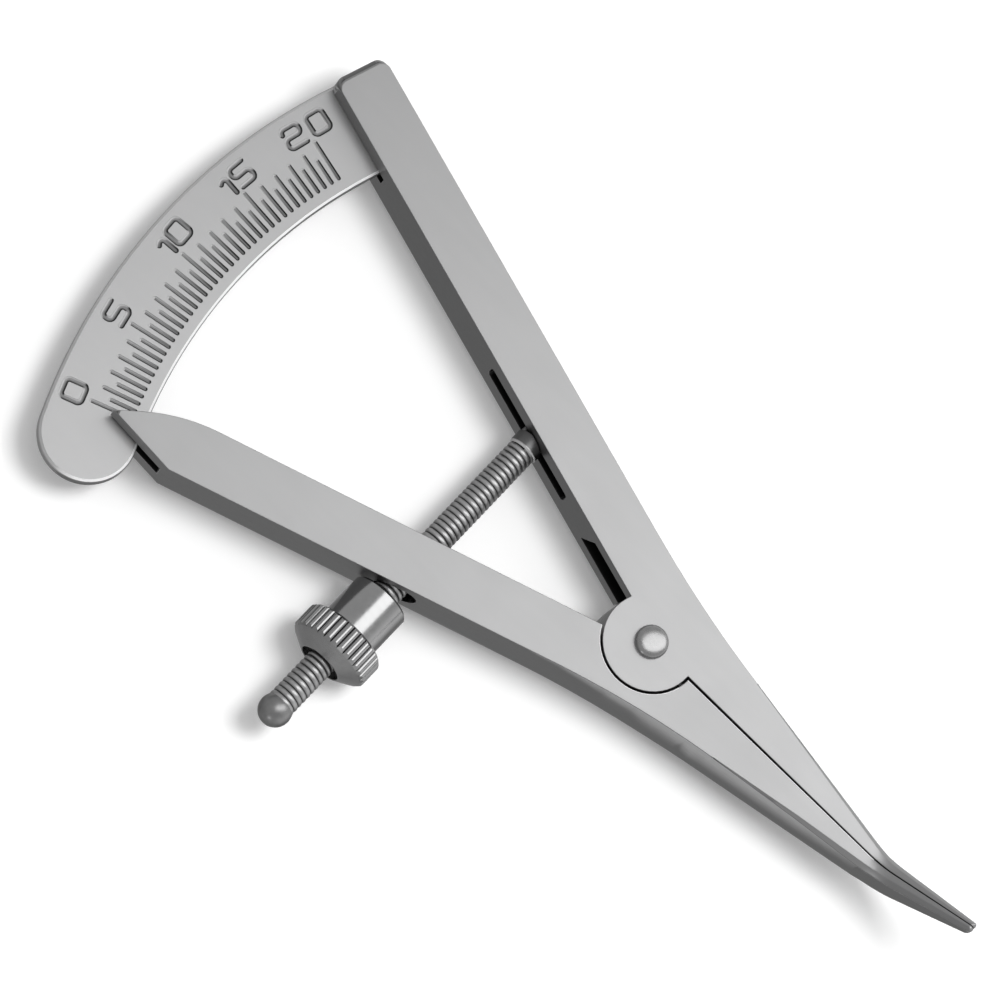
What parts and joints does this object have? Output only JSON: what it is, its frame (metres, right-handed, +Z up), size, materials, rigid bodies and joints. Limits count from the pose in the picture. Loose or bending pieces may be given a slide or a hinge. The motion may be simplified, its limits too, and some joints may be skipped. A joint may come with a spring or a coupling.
{
  "type": "surgical caliper",
  "caption": "Two-armed caliper with fine upturned jaws, a curved scale plate read by a pointed arm, and a screw with a knurled nut that opens the jaws.",
  "frame": {"origin": "middle of the closed caliper's box, at the height of its lowest point, which is the knurled nut's rim", "axes": "+X runs along the closed jaws to their tips, +Y from the pointer arm to the scale arm, +Z up out of the side that is read"},
  "size_m": [0.0854, 0.046, 0.011],
  "materials": {
    "satin_steel": "matte satin, glass-bead blasted",
    "plate_steel": "fine satin, with engraved graduations",
    "polished_steel": "polished",
    "screw_steel": "machined thread",
    "knurled_steel": "straight knurl, polished crests",
    "spring_steel": "drawn wire"
  },
  "bodies": {
    "scale_arm": {"scale_arm": "satin_steel", "scale_plate": "plate_steel", "scale_plate_pins": "plate_steel", "pivot_rivet": "polished_steel", "return_spring": "spring_steel", "swivel_pin": "polished_steel"},
    "pointer_arm": {"pointer_arm": "satin_steel"},
    "adjusting_screw": {"adjusting_screw": "screw_steel"},
    "thrust_sleeve": {"thrust_sleeve": "polished_steel"},
    "knurled_nut": {"knurled_nut": "knurled_steel"}
  },
  "joints": [
    {"name": "arm_pivot", "type": "hinge", "parent": "scale_arm", "child": "pointer_arm", "pos_m": [0.0089, 0.00329, 0.00361], "axis": [0, 0, -1], "range_deg": [0, 34.42], "deforming": ["return_spring"]},
    {"name": "screw_swivel", "type": "hinge", "parent": "scale_arm", "child": "adjusting_screw", "pos_m": [-0.00895, 0.01162, 0.00361], "axis": [0, 0, -1], "range_deg": [0, 17.21]},
    {"name": "sleeve_travel", "type": "slide", "parent": "adjusting_screw", "child": "thrust_sleeve", "axis": [0, 1, 0], "range_m": [0, 0.01226]},
    {"name": "nut_spin", "type": "hinge", "parent": "thrust_sleeve", "child": "knurled_nut", "pos_m": [-0.00895, -0.0148, 0.00361], "axis": [0, 1, 0], "range_deg": [0, 8820.5]}
  ],
  "couplings": [
    {"joint": "screw_swivel", "follows": "arm_pivot", "ratio": 0.5},
    {"joint": "sleeve_travel", "follows": "arm_pivot", "m_per_rad": 0.020393},
    {"joint": "nut_spin", "follows": "arm_pivot", "ratio": 256.26}
  ]
}
